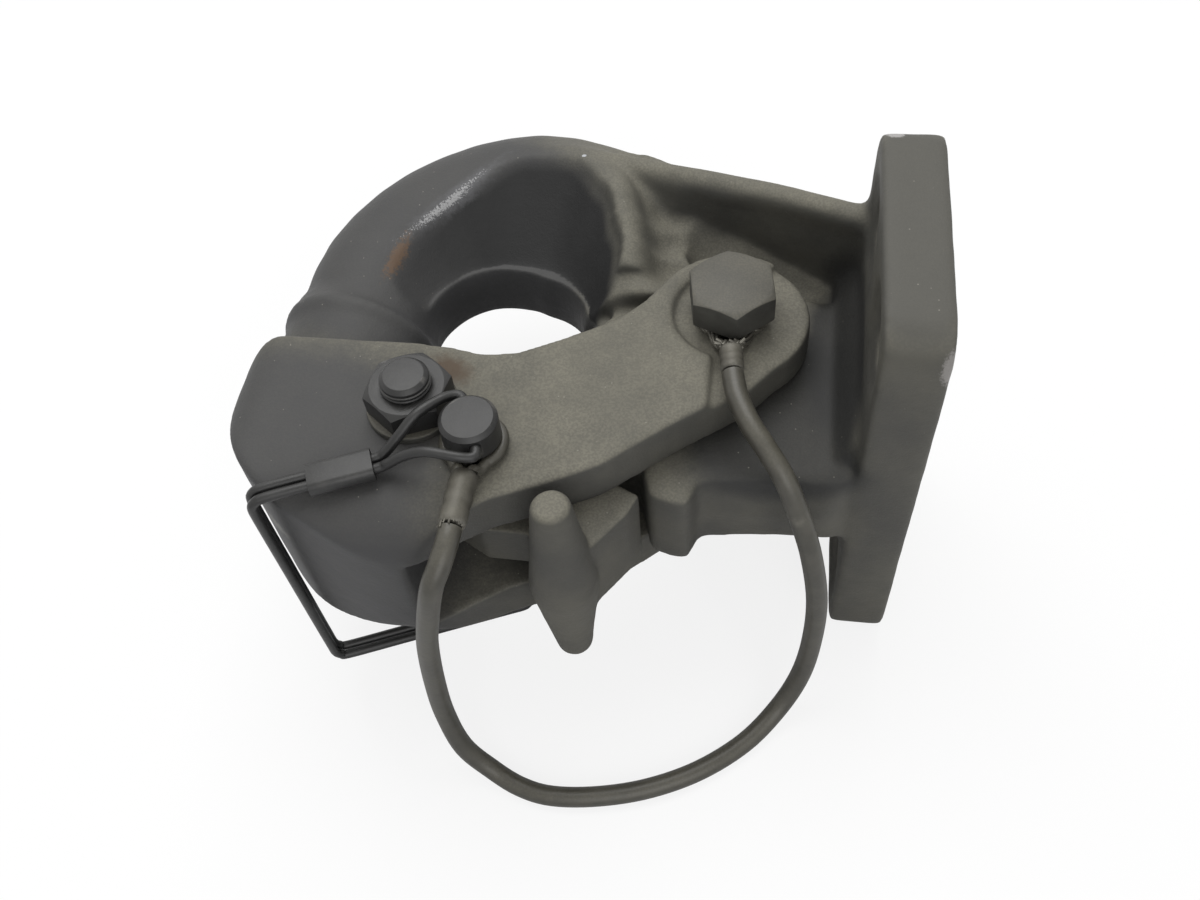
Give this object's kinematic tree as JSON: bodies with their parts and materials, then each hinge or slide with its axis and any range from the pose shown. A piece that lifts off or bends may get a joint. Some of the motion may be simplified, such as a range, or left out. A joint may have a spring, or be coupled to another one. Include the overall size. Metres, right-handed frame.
{
  "type": "pintle hook",
  "caption": "Forged towing pintle hook with a swinging latch jaw, cross-handled lock lever, wire-lock safety pin on a lanyard and a bolted flange.",
  "frame": {"origin": "centre of the mounting bolt pattern on the flange's mounting face", "axes": "+X out of the mounting face, +Z along the pivot bolts (up as it lies on its side), -Y up when it is in use"},
  "size_m": [0.2041, 0.2157, 0.154],
  "materials": {
    "forging": "matte phosphate and olive-grey paint",
    "hardware": "painted over",
    "black_steel": "black oxide",
    "bronze_bush": "bearing bronze",
    "spring_steel": "oiled",
    "cable_coat": "scuffed coating",
    "bare_strand": "bare wire strand",
    "ferrule_metal": "crimped, scuffed"
  },
  "bodies": {
    "hook": {"body": "forging", "pivot_bush": "bronze_bush", "pivot_bolt": "hardware", "pivot_washer": "hardware", "pivot_nut": "hardware", "cable": "cable_coat", "cable_loop_bolt": "bare_strand", "cable_ferrule_bolt": "ferrule_metal"},
    "latch": {"latch": "forging", "lever_bolt": "black_steel", "lever_nut": "black_steel", "lever_washer": "hardware", "lever_head_washer": "hardware", "lever_spring": "spring_steel", "cable_loop_pin": "cable_coat", "cable_ferrule_pin": "ferrule_metal"},
    "lever": {"lever": "forging"},
    "pin": {"safety_pin": "black_steel"},
    "bail": {"bail": "black_steel", "bail_sleeve": "black_steel"}
  },
  "joints": [
    {"name": "latch_swing", "type": "hinge", "parent": "hook", "child": "latch", "pos_m": [-0.0565, 0.0065, 0], "axis": [0, 0, 1], "range_deg": [0, 55], "deforming": ["cable"]},
    {"name": "lever_lift", "type": "hinge", "parent": "latch", "child": "lever", "pos_m": [-0.1445, -0.0365, 0], "axis": [0, 0, -1], "range_deg": [0, 14], "stiffness_Nm_per_rad": 1.5, "deforming": ["lever_spring"]},
    {"name": "pin_slide", "type": "slide", "parent": "latch", "child": "pin", "axis": [0, 0, 1], "range_m": [0, 0.022]},
    {"name": "bail_swing", "type": "hinge", "parent": "pin", "child": "bail", "pos_m": [-0.124, -0.049, 0.0435], "axis": [-0.38, 0.925, 0], "range_deg": [0, 100]}
  ]
}
